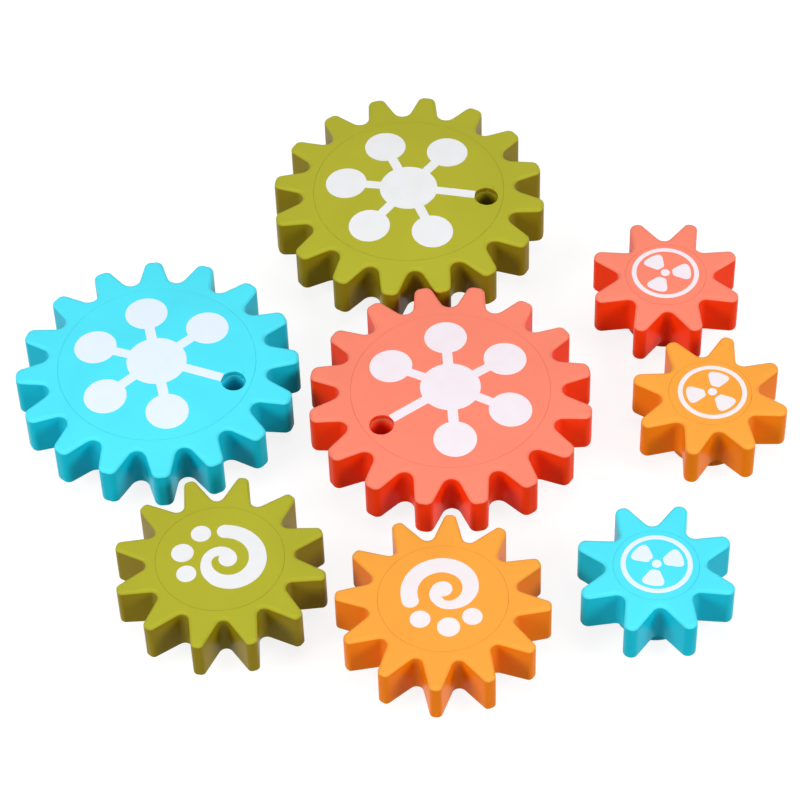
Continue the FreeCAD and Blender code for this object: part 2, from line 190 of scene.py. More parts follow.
bpy.context.scene.view_settings.view_transform = "Standard"

# ----------------------------------------------------------------------------- moulded plastic
# Every wheel, face and foot is injection moulded in a through-coloured plastic. Its colour is split by
# which
# way the surface faces: side walls get a deeper colour, as painted shade, and tops and their rounded edges
# a paler one, as a painted sheen. Both keep faint flow marks, a slight ripple from the mould, and a few
# fine rub marks from handling.
PLASTICS = {
    # linear colour of the walls, deepened as painted shade, of the tops, paled as a painted sheen, and tint
    # of the gloss
    "green": ((0.264, 0.196, 0.004, 1.0), (0.43, 0.42, 0.032, 1.0), (1.0, 0.9, 0.2, 1.0)),
    "cyan": ((0.004, 0.51, 0.66, 1.0), (0.085, 0.77, 0.93, 1.0), (0.2, 0.9, 1.0, 1.0)),
    "red": ((0.95, 0.045, 0.002, 1.0), (0.95, 0.250, 0.165, 1.0), (1.0, 0.35, 0.12, 1.0)),
    "orange": ((0.87, 0.211, 0.002, 1.0), (0.94, 0.380, 0.056, 1.0), (1.0, 0.6, 0.12, 1.0)),
}
SPECULAR = 0.08
# how far up the surface must face for the painted sheen of the tops to replace the painted shade of the
# walls
PAINTED_SHEEN_RANGE = (0.02, 0.35)
NOISE_RANGE = (0.3, 0.7)
FLOW_SCALE = 22.0
FLOW_BEND = 1.2
RUB_TURNS = (0.5, 2.1)
RUB_SCALE = (60.0, 900.0, 60.0)
RUB_RANGE = (0.62, 0.80)
RUB_DULLNESS = 0.08
PATCH_SCALE = 60.0
PATCH_RANGE = (0.3, 0.9)
RIPPLE_SCALE = 90.0
GRAIN_SCALE = 1400.0
GRAIN_HEIGHT = 0.06
MOULD_RELIEF = 0.03 * MM
BUMP_STRENGTH = 0.5
SURFACE_OUTPUTS = [
    ("Color", "NodeSocketColor"),
    ("Roughness", "NodeSocketFloat"),
    ("Height", "NodeSocketFloat"),
]


def new_group(name, inputs, outputs):
    """Empty shader node group with named inputs, each with its value, and named outputs."""
    group = bpy.data.node_groups.new(name, "ShaderNodeTree")
    for label, kind, value in inputs:
        socket = group.interface.new_socket(label, in_out="INPUT", socket_type=kind)
        if value is not None:
            socket.default_value = value
    for label, kind in outputs:
        group.interface.new_socket(label, in_out="OUTPUT", socket_type=kind)
    return group, group.nodes.new("NodeGroupInput"), group.nodes.new("NodeGroupOutput")


def noise_texture(nodes, links, vector, scale, detail):
    """Noise on the given coordinates; its scale is about the number of spots to a metre."""
    noise = nodes.new("ShaderNodeTexNoise")
    noise.inputs["Scale"].default_value = scale
    noise.inputs["Detail"].default_value = detail
    links.new(vector, noise.inputs["Vector"])
    return noise


def moulded_surface():
    """Painted shade on walls and painted sheen on tops, with flow marks; uneven gloss with rub marks; a
    ripple with fine grain.
    """
    inputs = [
        ("Wall Color", "NodeSocketColor", None),
        ("Top Color", "NodeSocketColor", None),
        ("Flow", "NodeSocketFloat", 0.035),
        ("Gloss Low", "NodeSocketFloat", 0.34),
        ("Gloss High", "NodeSocketFloat", 0.44),
        ("Vector", "NodeSocketVector", None),
        ("Normal", "NodeSocketVector", None),
    ]
    group, given, result = new_group("moulded_surface", inputs, SURFACE_OUTPUTS)
    nodes, links = group.nodes, group.links
    vector = given.outputs["Vector"]

    # share of the painted sheen: the paler top colour where the surface looks up, the deeper wall colour
    # (painted shade) on the side walls
    parts = nodes.new("ShaderNodeSeparateXYZ")
    links.new(given.outputs["Normal"], parts.inputs["Vector"])
    painted_sheen_share = map_range(nodes, links, parts.outputs["Z"], PAINTED_SHEEN_RANGE)
    painted_sheen_share.interpolation_type = "SMOOTHSTEP"
    wall, top = given.outputs["Wall Color"], given.outputs["Top Color"]
    finish = mixed_color(nodes, links, painted_sheen_share.outputs["Result"], wall, top)

    # flow marks: wide, soft changes of shade
    flow = noise_texture(nodes, links, vector, FLOW_SCALE, detail=3.0)
    flow.inputs["Distortion"].default_value = FLOW_BEND
    spread = map_range(nodes, links, flow.outputs["Fac"], NOISE_RANGE, (-1.0, 1.0))
    change = spread.outputs["Result"]
    amount = math_node(nodes, links, "MULTIPLY_ADD", change, given.outputs["Flow"], 1.0)
    shade = nodes.new("ShaderNodeHueSaturation")
    links.new(finish, shade.inputs["Color"])
    links.new(amount.outputs[0], shade.inputs["Value"])
    links.new(shade.outputs["Color"], result.inputs["Color"])

    # rub marks: long thin streaks in two directions, duller than the patchy gloss around them
    streaks = []
    for turn in RUB_TURNS:
        lay = nodes.new("ShaderNodeMapping")
        lay.inputs["Rotation"].default_value = (0.0, 0.0, turn)
        lay.inputs["Scale"].default_value = RUB_SCALE
        links.new(vector, lay.inputs["Vector"])
        rub = noise_texture(nodes, links, lay.outputs["Vector"], scale=1.0, detail=2.0)
        streaks.append(map_range(nodes, links, rub.outputs["Fac"], RUB_RANGE).outputs["Result"])
    rubbed = math_node(nodes, links, "MAXIMUM", *streaks)
    patches = noise_texture(nodes, links, vector, PATCH_SCALE, detail=4.0)
    patchy = patches.outputs["Fac"]
    uneven = math_node(nodes, links, "MULTIPLY_ADD", rubbed.outputs[0], RUB_DULLNESS, patchy)
    gloss = map_range(nodes, links, uneven.outputs[0], PATCH_RANGE)
    links.new(given.outputs["Gloss Low"], gloss.inputs["To Min"])
    links.new(given.outputs["Gloss High"], gloss.inputs["To Max"])
    links.new(gloss.outputs["Result"], result.inputs["Roughness"])

    # relief: the mould's slow ripple, and a fine grain on it
    grain = noise_texture(nodes, links, vector, GRAIN_SCALE, detail=2.0).outputs["Fac"]
    ripple = noise_texture(nodes, links, vector, RIPPLE_SCALE, detail=1.0).outputs["Fac"]
    relief = math_node(nodes, links, "MULTIPLY_ADD", grain, GRAIN_HEIGHT, ripple)
    links.new(relief.outputs[0], result.inputs["Height"])
    return group


moulded_group = moulded_surface()


def finished_with(material, group_tree, values, bump_distance):
    """Adds a surface group to a material: its colour, roughness and bump feed the Principled shader."""
    nodes, links = material.node_tree.nodes, material.node_tree.links
    shader = nodes["Principled BSDF"]
    place = nodes.new("ShaderNodeTexCoord")
    group = nodes.new("ShaderNodeGroup")
    group.node_tree = group_tree
    links.new(place.outputs["Object"], group.inputs["Vector"])
    # the surface's up direction sets where the painted sheen and the painted shade go
    if "Normal" in group.inputs:
        links.new(place.outputs["Normal"], group.inputs["Normal"])
    for label, value in values.items():
        group.inputs[label].default_value = value
    bump = nodes.new("ShaderNodeBump")
    bump.inputs["Strength"].default_value = BUMP_STRENGTH
    bump.inputs["Distance"].default_value = bump_distance
    links.new(group.outputs["Height"], bump.inputs["Height"])
    links.new(group.outputs["Color"], shader.inputs["Base Color"])
    links.new(group.outputs["Roughness"], shader.inputs["Roughness"])
    links.new(bump.outputs["Normal"], shader.inputs["Normal"])
    return shader


def new_material(name):
    """Material with a Principled shader to build on."""
    material = bpy.data.materials.new(name)
    material.use_nodes = True
    return material


plastics = {}
for colour, (wall, top, sheen) in PLASTICS.items():
    plastics[colour] = new_material(colour + "_moulded_plastic")
    # each plastic's walls are deepened as painted shade and its tops paled as a painted sheen
    colours = {"Wall Color": wall, "Top Color": top}
    shader = finished_with(plastics[colour], moulded_group, colours, MOULD_RELIEF)
    shader.inputs["Specular IOR Level"].default_value = SPECULAR
    shader.inputs["Specular Tint"].default_value = sheen


def clad(piece, material):
    """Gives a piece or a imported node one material."""
    piece.data.materials.clear()
    piece.data.materials.append(material)


# ----------------------------------------------------------------------------- toothed wheels
# Each wheel is one hollow moulding, open on top for its face: a toothed rim, a floor with a hub for the
# spindle, and teeth that are cored out from below. All its outer edges are rounded.
GEARS = [
    "large_red",
    "large_green",
    "large_cyan",
    "medium_orange",
    "medium_green",
    "small_red",
    "small_orange",
    "small_cyan",
]
RIM_HEIGHT = 17.75 * MM
DOME_RADIUS = 490 * MM
EDGE_ROUND = 1.35 * MM
LOWER_EDGE_ROUND = 0.5 * MM
SEAM_ROUND = 0.07 * MM
FACE_CLEARANCE = 0.02 * MM
FACE_THICKNESS = 2.0 * MM
SEAT_WIDTH = 1.5 * MM
FLOOR_THICKNESS = 2.2 * MM
HUB_HEIGHT = 9.7 * MM
HUB_BORE = 4.06 * MM
HUB_RADIUS = 7.06 * MM
TOOTH_WALL = 1.8 * MM
TOOTH_TIP_WALL = 2.3 * MM
ROOF_THICKNESS = 2.4 * MM
CRANK_HOLE = 4.6 * MM
CRANK_MARGIN = 2.1 * MM
SOCKET_RADIUS = 4.0 * MM
SOCKET_WALL = 1.8 * MM
SOCKET_GAP = 0.15 * MM
SOCKET_MOUTH = 3.5 * MM
SOCKET_SUNK = 0.5 * MM
SOCKET_SIDES = 64
# how finely the rounded corners and edges are divided
CREST_SEGMENTS = 6
VALLEY_SEGMENTS = 9
EDGE_SEGMENTS = 5
LOWER_EDGE_SEGMENTS = 2
ARC_MIDDLE = 0.3
SMOOTH_ANGLE = math.radians(40)
# how far a cutting piece or a selection reaches past its part
OVERCUT = 1.0 * MM
SLIGHT_OVERCUT = 0.02 * MM
BAND_BELOW_EDGE = 0.1 * MM
# what counts as equal, as one point and as level
TOLERANCE = 0.001 * MM
MERGE_DISTANCE = 0.0001 * MM
LEVEL_NORMAL = 0.999

wheel_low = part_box("large_red_wheel")[0].z
rim_top = wheel_low + RIM_HEIGHT
floor_top = wheel_low + FLOOR_THICKNESS


class Family:
    """Tooth form of one size of gear and the radii that follow from it."""

    def __init__(self, teeth, tip_radius, crest_half, crest_round, lean, valley_radius, rim_wall):
        self.teeth = teeth
        self.tip_radius = tip_radius * MM
        self.crest_half = crest_half * MM
        self.crest_round = crest_round * MM
        self.lean = math.radians(lean)
        self.valley_radius = valley_radius * MM
        self.half_pitch = math.pi / teeth
        self.spread = self.lean + self.half_pitch
        flank = self.tip_radius * math.sin(self.lean) + self.crest_half * math.cos(self.lean)
        valley_centre = (flank + self.valley_radius) / math.sin(self.spread)
        self.root_radius = valley_centre - self.valley_radius
        self.face_radius = self.root_radius - rim_wall * MM
        self.seat = self.dome(self.face_radius) - FACE_THICKNESS
        self.crank_offset = self.face_radius - CRANK_HOLE - CRANK_MARGIN
        # where the flanks of one tooth, and of two neighbours, would meet
        self.point_radius = self.tip_radius + self.crest_half / math.tan(self.lean)
        self.notch_radius = flank / math.sin(self.spread)

    def dome(self, radius):
        """Height of the domed top at a radius from the wheel's axis."""
        drop = math.sqrt(DOME_RADIUS**2 - self.tip_radius**2)
        return rim_top + math.sqrt(DOME_RADIUS**2 - radius**2) - drop


FAMILIES = {
    # teeth; then millimetres: tip radius, half the crest, its rounding; lean of the flank in degrees;
    # millimetres again: valley radius, rim wall
    "large": Family(16, 53.8, 3.05, 2.8, 13.5, 3.55, 4.4),
    "medium": Family(12, 38.9, 1.9, 1.9, 16.5, 2.6, 3.6),
    "small": Family(8, 29.5, 2.2, 2.7, 16.0, 3.03, 2.77),
}


def select(piece, kind, wanted):
    """In edit mode, selects only the vertices, edges or polygons of the piece that pass the test."""
    bpy.ops.object.mode_set(mode="OBJECT")
    for group in (piece.data.vertices, piece.data.edges, piece.data.polygons):
        group.foreach_set("select", [False] * len(group))
    for item in getattr(piece.data, kind):
        item.select = wanted(item)
    bpy.ops.object.mode_set(mode="EDIT")
    mode = {"vertices": "VERT", "edges": "EDGE", "polygons": "FACE"}[kind]
    bpy.ops.mesh.select_mode(type=mode)


def near(value, other):
    """Equal but for rounding."""
    return abs(value - other) < TOLERANCE


def at_radius(radius):
    """Test for a vertex at this distance from the axis."""
    return lambda vertex: near(vertex.co.to_2d().length, radius)


def both_ends(piece, test):
    """Test for an edge whose two vertices both pass."""
    points = piece.data.vertices
    return lambda edge: all(test(points[index].co) for index in edge.vertices)


def arc_profile(half_angle):
    """Bevel profile that comes out as a true arc in a corner with this half angle."""
    return ((1 + 2 * math.sin(half_angle)) / (2 + 2 * math.sin(half_angle))) ** 2


def tooth_outline(family):
    """Flat outline of the wheel: a star of straight flanks, its points cut and its corners rounded."""
    bpy.ops.mesh.primitive_circle_add(
        vertices=2 * family.teeth, radius=family.point_radius, fill_type="NGON", location=(0, 0, 0)
    )
    piece = bpy.context.object

    def is_notch(vertex):
        turn = math.atan2(vertex.co.y, vertex.co.x)
        return round(turn / family.half_pitch) % 2 == 1

    select(piece, "vertices", is_notch)
    shrink = family.notch_radius / family.point_radius
    bpy.ops.transform.resize(value=(shrink, shrink, 1), center_override=(0, 0, 0))
    select(piece, "vertices", at_radius(family.point_radius))
    bpy.ops.mesh.bevel(affect="VERTICES", offset=family.crest_half / math.sin(family.lean), segments=1)
    select(piece, "vertices", at_radius(math.hypot(family.tip_radius, family.crest_half)))
    half = (math.pi / 2 + family.lean) / 2
    bpy.ops.mesh.bevel(
        affect="VERTICES",
        offset=family.crest_round / math.tan(half),
        segments=CREST_SEGMENTS,
        profile=arc_profile(half),
    )
    select(piece, "vertices", at_radius(family.notch_radius))
    bpy.ops.mesh.bevel(
        affect="VERTICES",
        offset=family.valley_radius / math.tan(family.spread),
        segments=VALLEY_SEGMENTS,
        profile=arc_profile(family.spread),
    )
    return piece


def bevel_edges(piece, test, width, segments):
    """Rounds the edges whose two vertices both pass the test."""
    select(piece, "edges", both_ends(piece, test))
    bpy.ops.mesh.bevel(affect="EDGES", offset=width, segments=segments, clamp_overlap=False)


def extruded_ring(piece, steps):
    """Extrudes the selected loop through steps of radius and height, about the axis."""
    radius, height = steps[0]
    for new_radius, new_height in steps[1:]:
        bpy.ops.mesh.extrude_edges_move()
        scale = new_radius / radius
        bpy.ops.transform.resize(value=(scale, scale, 1), center_override=(0, 0, 0))
        bpy.ops.transform.translate(value=(0, 0, new_height - height))
        radius, height = new_radius, new_height


def raised_to_dome(piece, family, above):
    """Moves what is above a height from the flat rim's level to the dome."""
    bpy.ops.object.mode_set(mode="OBJECT")
    for vertex in piece.data.vertices:
        if vertex.co.z > above:
            vertex.co.z += family.dome(vertex.co.to_2d().length) - rim_top


def cut_or_join(piece, tool, operation):
    """Boolean of the piece with a tool piece, which is used up."""
    bpy.ops.object.mode_set(mode="OBJECT")
    step = piece.modifiers.new("boolean", "BOOLEAN")
    step.operation = operation
    step.solver = "EXACT"
    step.object = tool
    bpy.context.view_layer.objects.active = piece
    bpy.ops.object.modifier_apply(modifier=step.name)
    bpy.data.objects.remove(tool)


def turned_copies(piece, count):
    """Copies the mesh round the axis, count times in all."""
    select(piece, "polygons", lambda polygon: True)
    bpy.ops.mesh.spin(
        steps=count - 1,
        dupli=True,
        angle=2 * math.pi * (count - 1) / count,
        center=(0, 0, 0),
        axis=(0, 0, 1),
    )
    bpy.ops.object.mode_set(mode="OBJECT")


def block(low, high):
    """Box between two corners."""
    size = [b - a for a, b in zip(low, high)]
    middle = [(a + b) / 2 for a, b in zip(low, high)]
    bpy.ops.mesh.primitive_cube_add(size=1, location=middle)
    piece = bpy.context.object
    piece.scale = size
    bpy.ops.object.transform_apply(location=True, rotation=True, scale=True)
    return piece


def tooth_cores(family):
    """The hollows under the teeth, as solids: one tapered block, copied round."""
    skin = TOOTH_WALL / math.cos(family.lean)
    core_in, core_out = family.root_radius, family.tip_radius - TOOTH_TIP_WALL

    def half_hollow(radius):
        return family.crest_half + math.tan(family.lean) * (family.tip_radius - radius) - skin

    wide, narrow = half_hollow(core_in), half_hollow(core_out)
    top = rim_top - ROOF_THICKNESS
    core = block((core_in, -wide, wheel_low - OVERCUT), (core_out, wide, top))
    select(core, "vertices", lambda vertex: near(vertex.co.x, core_out))
    bpy.ops.transform.resize(value=(1, narrow / wide, 1), center_override=(0, 0, 0))
    turned_copies(core, family.teeth)
    return core


def mended(piece):
    """Merges doubled points and turns the faces outwards."""
    bpy.ops.object.mode_set(mode="OBJECT")
    bpy.ops.object.select_all(action="DESELECT")
    piece.select_set(True)
    bpy.context.view_layer.objects.active = piece
    bpy.ops.object.mode_set(mode="EDIT")
    bpy.ops.mesh.select_all(action="SELECT")
    bpy.ops.mesh.remove_doubles(threshold=MERGE_DISTANCE)
    bpy.ops.mesh.normals_make_consistent(inside=False)
    bpy.ops.object.mode_set(mode="OBJECT")


def smoothed(piece):
    """Smooth shading with hard edges past an angle, led by the large faces."""
    mended(piece)
    bpy.ops.object.shade_smooth_by_angle(angle=SMOOTH_ANGLE)
    led = piece.modifiers.new("weighted_normal", "WEIGHTED_NORMAL")
    led.keep_sharp = True
    bpy.ops.object.modifier_apply(modifier=led.name)


def wheel_moulding(size, family):
    """One size of wheel about the axis: toothed shell, bowl and hub, then tooth cores and crank socket."""
    bpy.ops.object.select_all(action="DESELECT")
    wheel = tooth_outline(family)
    select(wheel, "vertices", lambda vertex: True)
    loop_count = len(wheel.data.vertices)
    bpy.ops.transform.translate(value=(0, 0, wheel_low))
    select(wheel, "polygons", lambda polygon: True)
    bpy.ops.mesh.extrude_region_move(TRANSFORM_OT_translate={"value": (0, 0, RIM_HEIGHT)})
    bevel_edges(wheel, lambda co: near(co.z, rim_top), EDGE_ROUND, EDGE_SEGMENTS)
    bevel_edges(wheel, lambda co: near(co.z, wheel_low), LOWER_EDGE_ROUND, LOWER_EDGE_SEGMENTS)
    select(wheel, "polygons", lambda polygon: abs(polygon.normal.z) > LEVEL_NORMAL)
    bpy.ops.mesh.delete(type="ONLY_FACE")

    # the bowl inside, as one ring that runs down to the floor, up the hub and down its bore
    recess = family.face_radius + FACE_CLEARANCE
    chamber = family.face_radius - SEAT_WIDTH
    steps = [
        (recess + SEAM_ROUND, rim_top),
        (recess + SEAM_ROUND * ARC_MIDDLE, rim_top - SEAM_ROUND * ARC_MIDDLE),
        (recess, rim_top - SEAM_ROUND),
        (recess, family.seat),
        (chamber, family.seat),
        (chamber, floor_top),
        (HUB_RADIUS, floor_top),
        (HUB_RADIUS, wheel_low + HUB_HEIGHT),
        (HUB_BORE, wheel_low + HUB_HEIGHT),
        (HUB_BORE, wheel_low),
    ]
    bpy.ops.object.mode_set(mode="OBJECT")
    bpy.ops.object.select_all(action="DESELECT")
    bpy.ops.mesh.primitive_circle_add(vertices=loop_count, radius=steps[0][0], location=(0, 0, rim_top))
    bowl = bpy.context.object
    bpy.ops.object.transform_apply(location=True, rotation=True, scale=True)
    bpy.ops.object.mode_set(mode="EDIT")
    bpy.ops.mesh.select_all(action="SELECT")
    extruded_ring(bowl, steps)
    bpy.ops.object.mode_set(mode="OBJECT")
    wheel.select_set(True)
    bpy.context.view_layer.objects.active = wheel
    bpy.ops.object.join()
    for level in (rim_top, wheel_low):
        def open_edge(co, level=level):
            return near(co.z, level)

        select(wheel, "edges", both_ends(wheel, open_edge))
        bpy.ops.mesh.bridge_edge_loops()
    raised_to_dome(wheel, family, rim_top - EDGE_ROUND - BAND_BELOW_EDGE)

    cut_or_join(wheel, tooth_cores(family), "DIFFERENCE")
    if size == "large":
        cut_or_join(wheel, socket_tube(family), "UNION")
    smoothed(wheel)
    wheel.name = size + "_wheel_pattern"
    return wheel


def socket_tube(family):
    """Tube that stands on the wheel's floor under the crank hole, its mouth widened to the hole."""
    low = floor_top - SOCKET_SUNK
    high = family.seat - SOCKET_GAP
    tubes = []
    for radius, bottom, top in (
        (SOCKET_RADIUS + SOCKET_WALL, low, high),
        (SOCKET_RADIUS, floor_top, high + OVERCUT),
    ):
        bpy.ops.mesh.primitive_cylinder_add(
            vertices=SOCKET_SIDES,
            radius=radius,
            depth=top - bottom,
            location=(family.crank_offset, 0, (top + bottom) / 2),
        )
        tubes.append(bpy.context.object)
        bpy.ops.object.transform_apply(location=True, rotation=True, scale=True)
    bpy.ops.mesh.primitive_cone_add(
        vertices=SOCKET_SIDES,
        radius1=SOCKET_RADIUS,
        radius2=CRANK_HOLE,
        depth=SOCKET_MOUTH,
        location=(family.crank_offset, 0, high + SLIGHT_OVERCUT - SOCKET_MOUTH / 2),
    )
    tubes.append(bpy.context.object)
    bpy.ops.object.transform_apply(location=True, rotation=True, scale=True)
    cut_or_join(tubes[0], tubes[1], "DIFFERENCE")
    cut_or_join(tubes[0], tubes[2], "DIFFERENCE")
    return tubes[0]


CREST_BAND = 0.01 * MM


def centre_of(gear):
    """Axis of a gear, from its round foot."""
    low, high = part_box(gear + "_foot")
    return Vector(((low.x + high.x) / 2, (low.y + high.y) / 2, 0))


def turn_of(gear, family):
    """Turn of a gear: its crank socket's direction, or else the middle of one of its crests."""
    middle = centre_of(gear)
    for mount in frame["record"]["mounts"]:
        if mount["name"] == gear + "_crank_socket":
            arm = Vector(mount["pos_m"]) - middle
            return math.atan2(arm.y, arm.x)
    total = Vector((0.0, 0.0))
    for vertex in frame["nodes"][gear + "_wheel"].data.vertices:
        arm = (vertex.co - middle).to_2d()
        if arm.length > family.tip_radius - CREST_BAND:
            angle = math.atan2(arm.y, arm.x) * family.teeth
            total += Vector((math.cos(angle), math.sin(angle)))
    return math.atan2(total.y, total.x) / family.teeth


def set_down(pattern, name, middle, turn):
    """Own copy of a finished piece, turned and moved to its place, with its object left at the origin."""
    bpy.ops.object.select_all(action="DESELECT")
    piece = pattern.copy()
    piece.data = pattern.data.copy()
    piece.name = name
    piece.data.name = name
    bpy.context.scene.collection.objects.link(piece)
    piece.rotation_euler = (0, 0, turn)
    piece.location = middle
    piece.select_set(True)
    bpy.context.view_layer.objects.active = piece
    bpy.ops.object.transform_apply(location=True, rotation=True, scale=True)
    return piece


def family_of(gear):
    """Tooth form and radii for the size that the gear's name gives."""
    return FAMILIES[gear.split("_")[0]]


turns = {gear: turn_of(gear, family_of(gear)) for gear in GEARS}
wheel_patterns = {size: wheel_moulding(size, family) for size, family in FAMILIES.items()}
for gear in GEARS:
    size, colour = gear.split("_")
    wheel = set_down(wheel_patterns[size], gear + "_wheel_moulding", centre_of(gear), turns[gear])
    clad(wheel, plastics[colour])
    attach(wheel, gear + "_gear")
    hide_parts(gear + "_wheel")
for pattern in wheel_patterns.values():
    bpy.data.objects.remove(pattern)

# ----------------------------------------------------------------------------- faces
# Each wheel is closed by a thin round face, moulded in the same plastic. It follows the same dome and snaps
# in flush, so that only a fine seam shows. The faces of the large gears have a hole over the crank socket.
PLATE_SIDES = 96
RING_STEP = 4.2 * MM
SEAM_SEGMENTS = 2
HOLE_SIDES = 48
HOLE_EDGE_ROUND = 0.3 * MM
HOLE_EDGE_SEGMENTS = 2
HOLE_BAND = 0.05 * MM


def domed_plate(family, radius, low, high):
    """Round plate between two heights over the dome, in rings that let it follow the dome."""
    bpy.ops.object.select_all(action="DESELECT")
    bpy.ops.mesh.primitive_circle_add(
        vertices=PLATE_SIDES, radius=radius, fill_type="NGON", location=(0, 0, rim_top + low)
    )
    plate = bpy.context.object
    bpy.ops.object.transform_apply(location=True, rotation=True, scale=True)
    bpy.ops.object.mode_set(mode="EDIT")
    bpy.ops.mesh.select_all(action="SELECT")
    for _ in range(int(radius / RING_STEP)):
        bpy.ops.mesh.inset(thickness=RING_STEP)
    bpy.ops.mesh.select_all(action="SELECT")
    bpy.ops.mesh.extrude_region_move(TRANSFORM_OT_translate={"value": (0, 0, high - low)})
    bpy.ops.object.mode_set(mode="OBJECT")
    return plate


def face_moulding(size, family):
    """One size of face about the axis: a domed plate, on the large size with the crank hole."""
    radius = family.face_radius - FACE_CLEARANCE
    plate = domed_plate(family, radius, -FACE_THICKNESS, 0.0)

    def on_upper_edge(co):
        return near(co.z, rim_top) and near(co.to_2d().length, radius)

    bevel_edges(plate, on_upper_edge, SEAM_ROUND, SEAM_SEGMENTS)
    raised_to_dome(plate, family, 0.0)
    if size == "large":
        bpy.ops.mesh.primitive_cylinder_add(
            vertices=HOLE_SIDES,
            radius=CRANK_HOLE,
            depth=4 * FACE_THICKNESS,
            location=(family.crank_offset, 0, rim_top),
        )
        drill = bpy.context.object
        bpy.ops.object.transform_apply(location=True, rotation=True, scale=True)
        cut_or_join(plate, drill, "DIFFERENCE")
        hole = Vector((family.crank_offset, 0))

        def on_hole_edge(co):
            return abs((co.to_2d() - hole).length - CRANK_HOLE) < HOLE_BAND and co.z > rim_top

        bevel_edges(plate, on_hole_edge, HOLE_EDGE_ROUND, HOLE_EDGE_SEGMENTS)
    smoothed(plate)
    return plate


face_patterns = {size: face_moulding(size, family) for size, family in FAMILIES.items()}
for gear in GEARS:
    size, colour = gear.split("_")
    face = set_down(face_patterns[size], gear + "_face_moulding", centre_of(gear), turns[gear])
    clad(face, plastics[colour])
    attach(face, gear + "_gear")
    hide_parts(gear + "_face")
for pattern in face_patterns.values():
    bpy.data.objects.remove(pattern)

# ----------------------------------------------------------------------------- prints
# Each face carries a plain figure, screen printed in white: a hub with spokes and discs, a spiral with
# three dots, or a ring round a three-bladed fan. The ink is thin and lets a little of the plastic through,
# and that show-through of the paler top colour also serves as a painted colour cast from the plastic
# around.
INK_LOW = -0.03 * MM
INK_HIGH = 0.04 * MM
INK_WHITE = (0.88, 0.89, 0.97, 1.0)
# share of ink over the plastic; the plastic showing through is partly real, partly a painted colour cast
INK_COVER = 0.86
COVER_SPREAD = 0.03
CLOUD_SCALE = 150.0
INK_GLOSS = (0.42, 0.56)
INK_GRAIN_SCALE = 2200.0
INK_RELIEF = 0.01 * MM
INK_SPECULAR = 0.25
SPOT_SIDES = 64
STENCIL_LOW = rim_top - MM
STENCIL_HIGH = rim_top + 5 * MM


def printed_surface():
    """White ink of uneven cover over a plastic, as a colour, with its own uneven gloss and a fine grain."""
    inputs = [
        ("Ink", "NodeSocketColor", INK_WHITE),
        ("Plastic", "NodeSocketColor", None),
        ("Cover", "NodeSocketFloat", INK_COVER),
        ("Vector", "NodeSocketVector", None),
    ]
    group, given, result = new_group("printed_surface", inputs, SURFACE_OUTPUTS)
    nodes, links = group.nodes, group.links
    vector = given.outputs["Vector"]
    cloud = noise_texture(nodes, links, vector, CLOUD_SCALE, detail=4.0).outputs["Fac"]
    uneven = map_range(nodes, links, cloud, NOISE_RANGE, (-COVER_SPREAD, COVER_SPREAD))
    cover = math_node(nodes, links, "ADD", given.outputs["Cover"], uneven.outputs["Result"])
    cover.use_clamp = True
    plastic, ink = given.outputs["Plastic"], given.outputs["Ink"]
    links.new(mixed_color(nodes, links, cover.outputs[0], plastic, ink), result.inputs["Color"])
    gloss = map_range(nodes, links, cloud, (0.0, 1.0), INK_GLOSS)
    links.new(gloss.outputs["Result"], result.inputs["Roughness"])
    grain = noise_texture(nodes, links, vector, INK_GRAIN_SCALE, detail=2.0)
    links.new(grain.outputs["Fac"], result.inputs["Height"])
    return group


printed_group = printed_surface()
inks = {}
for colour in PLASTICS:
    inks[colour] = new_material("white_ink_on_" + colour)
    # the plastic under the ink is the top colour with its painted sheen, which also paints the colour cast
    # on the print
    shader = finished_with(inks[colour], printed_group, {"Plastic": PLASTICS[colour][1]}, INK_RELIEF)
    shader.inputs["Specular IOR Level"].default_value = INK_SPECULAR


def spot(radius, x, y):
    """Round stencil at a place."""
    bpy.ops.mesh.primitive_cylinder_add(
        vertices=SPOT_SIDES,
        radius=radius,
        depth=STENCIL_HIGH - STENCIL_LOW,
        location=(x, y, (STENCIL_LOW + STENCIL_HIGH) / 2),
    )
    return bpy.context.object


def around(radius, degrees):
    """Place at a distance and bearing from the middle."""
    angle = math.radians(degrees)
    return radius * math.cos(angle), radius * math.sin(angle)


def bent_strip(steps, outline):
    """Strip bent round the middle; outline gives bearing, inner and outer radius at a share of the way."""
    bpy.ops.object.select_all(action="DESELECT")
    bpy.ops.mesh.primitive_grid_add(x_subdivisions=steps, y_subdivisions=1, size=1, location=(0, 0, 0))
    strip = bpy.context.object
    for vertex in strip.data.vertices:
        degrees, inner, outer = outline(vertex.co.x + 0.5)
        radius = inner + (outer - inner) * (vertex.co.y + 0.5)
        vertex.co = (*around(radius, degrees), STENCIL_LOW)
    select(strip, "polygons", lambda polygon: True)
    rise = STENCIL_HIGH - STENCIL_LOW
    bpy.ops.mesh.extrude_region_move(TRANSFORM_OT_translate={"value": (0, 0, rise)})
    bpy.ops.object.mode_set(mode="OBJECT")
    return strip


def printed(family, margin, stencils):
    """The ink: a thin domed sheet up to a margin inside the face's edge, cut to the stencils."""
    figure = stencils[0]
    for stencil in stencils:
        mended(stencil)
        if stencil is not figure:
            cut_or_join(figure, stencil, "UNION")
    sheet = domed_plate(family, family.face_radius - margin, INK_LOW, INK_HIGH)
    raised_to_dome(sheet, family, 0.0)
    cut_or_join(sheet, figure, "INTERSECT")
    smoothed(sheet)
    return sheet


# the hub with spokes, on the large gears: the first spoke runs to the crank hole
HUB_SPOT = 11.42 * MM
DISC_SPOT = 8.1 * MM
DISC_CENTRES = 24.95 * MM
SPOKE_WIDTH = 3.85 * MM
SPOKE_COUNT = 6
SPOKE_PAST_HOLE_EDGE = 0.1 * MM
HUB_MARGIN = 2.0 * MM


